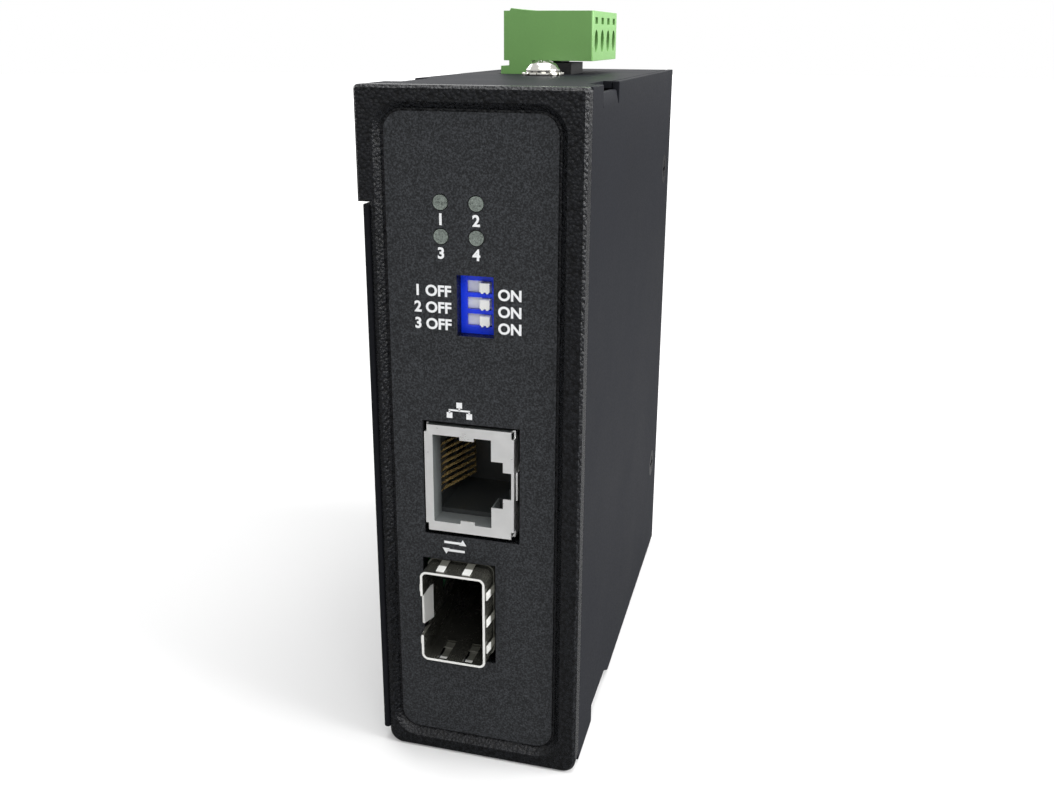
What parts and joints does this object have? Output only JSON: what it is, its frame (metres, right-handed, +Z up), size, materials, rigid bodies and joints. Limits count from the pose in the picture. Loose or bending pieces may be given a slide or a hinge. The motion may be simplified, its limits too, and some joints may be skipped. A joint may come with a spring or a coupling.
{
  "type": "fibre media converter",
  "caption": "Narrow black metal network converter for a mounting rail, with a shielded network jack, a transceiver cage, a small slide switch and a green terminal plug on top.",
  "frame": {"origin": "middle of the case's underside", "axes": "+Z up, -Y towards the front with the jack, +X to the viewer's right"},
  "size_m": [0.031, 0.0875, 0.1093],
  "materials": {
    "bezel": "coarse moulded grain, near black",
    "overlay": "fine textured film, near black",
    "case": "black powder coat, satin",
    "dark_screw": "blackened steel",
    "steel": "bright plated",
    "nickel": "satin nickel plate",
    "gold": "gold plate",
    "brass": "turned brass",
    "aluminium": "drawn can",
    "black_plastic": "moulded, black",
    "blue_plastic": "moulded, blue",
    "white_plastic": "moulded, white",
    "green_plastic": "moulded, green",
    "light_pipe": "frosted clear plastic, unlit",
    "board": "solder mask, green",
    "dark_core": "ferrite, dark grey"
  },
  "bodies": {
    "case": {"front_bezel": "bezel", "front_overlay": "overlay", "chassis": "case", "right_cover": "case", "left_cover": "case", "cover_screws": "dark_screw", "circuit_board": "board", "board_standoffs": "brass", "board_screws": "steel", "front_board": "board", "board_link": "black_plastic", "jack_shield": "nickel", "jack_insert": "black_plastic", "jack_contacts": "gold", "cage": "nickel", "cage_springs": "steel", "cage_connector": "black_plastic", "cage_contacts": "gold", "switch_body": "blue_plastic", "light_pipe_1": "light_pipe", "light_pipe_2": "light_pipe", "light_pipe_3": "light_pipe", "light_pipe_4": "light_pipe", "light_chips": "white_plastic", "terminal_header": "black_plastic", "header_pins": "steel", "ground_screw": "steel", "ground_washer": "steel", "ground_nut": "steel", "clip_plate": "black_plastic", "clip_spring": "steel", "clip_screws": "steel", "controller_chip": "black_plastic", "network_transformer": "black_plastic", "power_inductor": "dark_core", "capacitors": "aluminium", "crystal": "nickel", "input_diodes": "black_plastic", "fuse": "white_plastic"},
    "switch_1": {"switch_slider_1": "white_plastic"},
    "switch_2": {"switch_slider_2": "white_plastic"},
    "switch_3": {"switch_slider_3": "white_plastic"},
    "plug": {"terminal_plug": "green_plastic", "plug_clamps": "steel"},
    "latch": {"clip_latch": "black_plastic"}
  },
  "joints": [
    {"name": "switch_1_slide", "type": "slide", "parent": "case", "child": "switch_1", "axis": [-1, 0, 0], "range_m": [0, 0.0017]},
    {"name": "switch_2_slide", "type": "slide", "parent": "case", "child": "switch_2", "axis": [-1, 0, 0], "range_m": [0, 0.0017]},
    {"name": "switch_3_slide", "type": "slide", "parent": "case", "child": "switch_3", "axis": [-1, 0, 0], "range_m": [0, 0.0017]},
    {"name": "plug_lift", "type": "slide", "parent": "case", "child": "plug", "axis": [0, 0, 1], "range_m": [0, 0.014]},
    {"name": "latch_slide", "type": "slide", "parent": "case", "child": "latch", "axis": [0, 0, -1], "range_m": [0, 0.004], "stiffness_N_per_m": 500, "springref_m": -0.004, "deforming": ["clip_spring"]}
  ]
}
